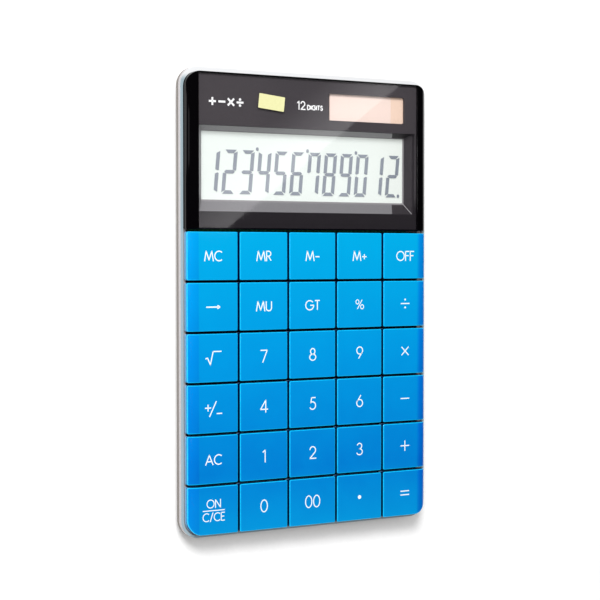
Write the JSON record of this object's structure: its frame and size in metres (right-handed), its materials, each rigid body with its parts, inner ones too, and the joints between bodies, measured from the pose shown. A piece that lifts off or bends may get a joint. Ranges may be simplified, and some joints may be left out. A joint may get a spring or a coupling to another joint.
{
  "type": "desk calculator",
  "caption": "Slim upright-format desk calculator with a glossy blue key field, a dark display window with a solar cell and LCD, and a pale edge frame.",
  "frame": {"origin": "centre of the outline, on the plane the four rubber feet stand on", "axes": "+X to the right of the face, +Y towards the display end, +Z out of the face"},
  "size_m": [0.1048, 0.1688, 0.0127],
  "materials": {
    "shell": "fine satin moulded warm grey",
    "frame": "pearl white semi-gloss",
    "deck": "matt black",
    "key_mat": "matt translucent silicone",
    "board": "green solder mask",
    "epoxy": "black potting drop",
    "sleeve": "dark blue shrink sleeve",
    "bezel": "satin mid grey",
    "lcd": "polarised liquid crystal glass",
    "reflector": "pearly reflector film",
    "elastomer": "matt striped elastomer",
    "window": "polished acrylic, printed black behind",
    "solar": "coated glass cell with fine grid",
    "red_wire": "insulated wire",
    "black_wire": "insulated wire",
    "label": "matt pale yellow sticker",
    "cell_steel": "plated steel can",
    "contact": "plated spring strip",
    "foot": "matt dark rubber",
    "screw": "zinc plated",
    "print": "opaque white and silver ink",
    "key_blue": "polished acrylic over a blue print"
  },
  "bodies": {
    "case": {"back_shell": "shell", "side_frame": "frame", "key_deck": "deck", "key_mat": "key_mat", "circuit_board": "board", "controller_blob": "epoxy", "storage_capacitor": "sleeve", "display_frame": "bezel", "lcd_glass": "lcd", "lcd_reflector": "reflector", "lcd_connector": "elastomer", "display_window": "window", "solar_cell": "solar", "solar_lead_positive": "red_wire", "solar_lead_negative": "black_wire", "window_label": "label", "coin_cell": "cell_steel", "cell_top_contact": "contact", "cell_side_contact": "contact", "foot_front_left": "foot", "foot_front_right": "foot", "foot_rear_left": "foot", "foot_rear_right": "foot", "screw_front_left": "screw", "screw_front_right": "screw", "screw_rear_left": "screw", "screw_rear_right": "screw"},
    "battery_cover": {"battery_cover": "shell"},
    "key_mc": {"key_mc": "key_blue"},
    "key_mr": {"key_mr": "key_blue"},
    "key_m_minus": {"key_m_minus": "key_blue"},
    "key_m_plus": {"key_m_plus": "key_blue"},
    "key_off": {"key_off": "key_blue"},
    "key_backspace": {"key_backspace": "key_blue"},
    "key_mu": {"key_mu": "key_blue"},
    "key_gt": {"key_gt": "key_blue"},
    "key_percent": {"key_percent": "key_blue"},
    "key_divide": {"key_divide": "key_blue"},
    "key_root": {"key_root": "key_blue"},
    "key_7": {"key_7": "key_blue"},
    "key_8": {"key_8": "key_blue"},
    "key_9": {"key_9": "key_blue"},
    "key_multiply": {"key_multiply": "key_blue"},
    "key_sign": {"key_sign": "key_blue"},
    "key_4": {"key_4": "key_blue"},
    "key_5": {"key_5": "key_blue"},
    "key_6": {"key_6": "key_blue"},
    "key_minus": {"key_minus": "key_blue"},
    "key_ac": {"key_ac": "key_blue"},
    "key_1": {"key_1": "key_blue"},
    "key_2": {"key_2": "key_blue"},
    "key_3": {"key_3": "key_blue"},
    "key_plus": {"key_plus": "key_blue"},
    "key_on_clear": {"key_on_clear": "key_blue"},
    "key_0": {"key_0": "key_blue"},
    "key_00": {"key_00": "key_blue"},
    "key_point": {"key_point": "key_blue"},
    "key_equals": {"key_equals": "key_blue"}
  },
  "joints": [
    {"name": "battery_cover_twist", "type": "hinge", "parent": "case", "child": "battery_cover", "pos_m": [0.028, 0.07, 0.0012], "axis": [0, 0, 1], "range_deg": [0, 60]},
    {"name": "key_mc_press", "type": "slide", "parent": "case", "child": "key_mc", "axis": [0, 0, -1], "range_m": [0, 0.001], "stiffness_N_per_m": 350, "springref_m": -0.0008},
    {"name": "key_mr_press", "type": "slide", "parent": "case", "child": "key_mr", "axis": [0, 0, -1], "range_m": [0, 0.001], "stiffness_N_per_m": 350, "springref_m": -0.0008},
    {"name": "key_m_minus_press", "type": "slide", "parent": "case", "child": "key_m_minus", "axis": [0, 0, -1], "range_m": [0, 0.001], "stiffness_N_per_m": 350, "springref_m": -0.0008},
    {"name": "key_m_plus_press", "type": "slide", "parent": "case", "child": "key_m_plus", "axis": [0, 0, -1], "range_m": [0, 0.001], "stiffness_N_per_m": 350, "springref_m": -0.0008},
    {"name": "key_off_press", "type": "slide", "parent": "case", "child": "key_off", "axis": [0, 0, -1], "range_m": [0, 0.001], "stiffness_N_per_m": 350, "springref_m": -0.0008},
    {"name": "key_backspace_press", "type": "slide", "parent": "case", "child": "key_backspace", "axis": [0, 0, -1], "range_m": [0, 0.001], "stiffness_N_per_m": 350, "springref_m": -0.0008},
    {"name": "key_mu_press", "type": "slide", "parent": "case", "child": "key_mu", "axis": [0, 0, -1], "range_m": [0, 0.001], "stiffness_N_per_m": 350, "springref_m": -0.0008},
    {"name": "key_gt_press", "type": "slide", "parent": "case", "child": "key_gt", "axis": [0, 0, -1], "range_m": [0, 0.001], "stiffness_N_per_m": 350, "springref_m": -0.0008},
    {"name": "key_percent_press", "type": "slide", "parent": "case", "child": "key_percent", "axis": [0, 0, -1], "range_m": [0, 0.001], "stiffness_N_per_m": 350, "springref_m": -0.0008},
    {"name": "key_divide_press", "type": "slide", "parent": "case", "child": "key_divide", "axis": [0, 0, -1], "range_m": [0, 0.001], "stiffness_N_per_m": 350, "springref_m": -0.0008},
    {"name": "key_root_press", "type": "slide", "parent": "case", "child": "key_root", "axis": [0, 0, -1], "range_m": [0, 0.001], "stiffness_N_per_m": 350, "springref_m": -0.0008},
    {"name": "key_7_press", "type": "slide", "parent": "case", "child": "key_7", "axis": [0, 0, -1], "range_m": [0, 0.001], "stiffness_N_per_m": 350, "springref_m": -0.0008},
    {"name": "key_8_press", "type": "slide", "parent": "case", "child": "key_8", "axis": [0, 0, -1], "range_m": [0, 0.001], "stiffness_N_per_m": 350, "springref_m": -0.0008},
    {"name": "key_9_press", "type": "slide", "parent": "case", "child": "key_9", "axis": [0, 0, -1], "range_m": [0, 0.001], "stiffness_N_per_m": 350, "springref_m": -0.0008},
    {"name": "key_multiply_press", "type": "slide", "parent": "case", "child": "key_multiply", "axis": [0, 0, -1], "range_m": [0, 0.001], "stiffness_N_per_m": 350, "springref_m": -0.0008},
    {"name": "key_sign_press", "type": "slide", "parent": "case", "child": "key_sign", "axis": [0, 0, -1], "range_m": [0, 0.001], "stiffness_N_per_m": 350, "springref_m": -0.0008},
    {"name": "key_4_press", "type": "slide", "parent": "case", "child": "key_4", "axis": [0, 0, -1], "range_m": [0, 0.001], "stiffness_N_per_m": 350, "springref_m": -0.0008},
    {"name": "key_5_press", "type": "slide", "parent": "case", "child": "key_5", "axis": [0, 0, -1], "range_m": [0, 0.001], "stiffness_N_per_m": 350, "springref_m": -0.0008},
    {"name": "key_6_press", "type": "slide", "parent": "case", "child": "key_6", "axis": [0, 0, -1], "range_m": [0, 0.001], "stiffness_N_per_m": 350, "springref_m": -0.0008},
    {"name": "key_minus_press", "type": "slide", "parent": "case", "child": "key_minus", "axis": [0, 0, -1], "range_m": [0, 0.001], "stiffness_N_per_m": 350, "springref_m": -0.0008},
    {"name": "key_ac_press", "type": "slide", "parent": "case", "child": "key_ac", "axis": [0, 0, -1], "range_m": [0, 0.001], "stiffness_N_per_m": 350, "springref_m": -0.0008},
    {"name": "key_1_press", "type": "slide", "parent": "case", "child": "key_1", "axis": [0, 0, -1], "range_m": [0, 0.001], "stiffness_N_per_m": 350, "springref_m": -0.0008},
    {"name": "key_2_press", "type": "slide", "parent": "case", "child": "key_2", "axis": [0, 0, -1], "range_m": [0, 0.001], "stiffness_N_per_m": 350, "springref_m": -0.0008},
    {"name": "key_3_press", "type": "slide", "parent": "case", "child": "key_3", "axis": [0, 0, -1], "range_m": [0, 0.001], "stiffness_N_per_m": 350, "springref_m": -0.0008},
    {"name": "key_plus_press", "type": "slide", "parent": "case", "child": "key_plus", "axis": [0, 0, -1], "range_m": [0, 0.001], "stiffness_N_per_m": 350, "springref_m": -0.0008},
    {"name": "key_on_clear_press", "type": "slide", "parent": "case", "child": "key_on_clear", "axis": [0, 0, -1], "range_m": [0, 0.001], "stiffness_N_per_m": 350, "springref_m": -0.0008},
    {"name": "key_0_press", "type": "slide", "parent": "case", "child": "key_0", "axis": [0, 0, -1], "range_m": [0, 0.001], "stiffness_N_per_m": 350, "springref_m": -0.0008},
    {"name": "key_00_press", "type": "slide", "parent": "case", "child": "key_00", "axis": [0, 0, -1], "range_m": [0, 0.001], "stiffness_N_per_m": 350, "springref_m": -0.0008},
    {"name": "key_point_press", "type": "slide", "parent": "case", "child": "key_point", "axis": [0, 0, -1], "range_m": [0, 0.001], "stiffness_N_per_m": 350, "springref_m": -0.0008},
    {"name": "key_equals_press", "type": "slide", "parent": "case", "child": "key_equals", "axis": [0, 0, -1], "range_m": [0, 0.001], "stiffness_N_per_m": 350, "springref_m": -0.0008}
  ]
}
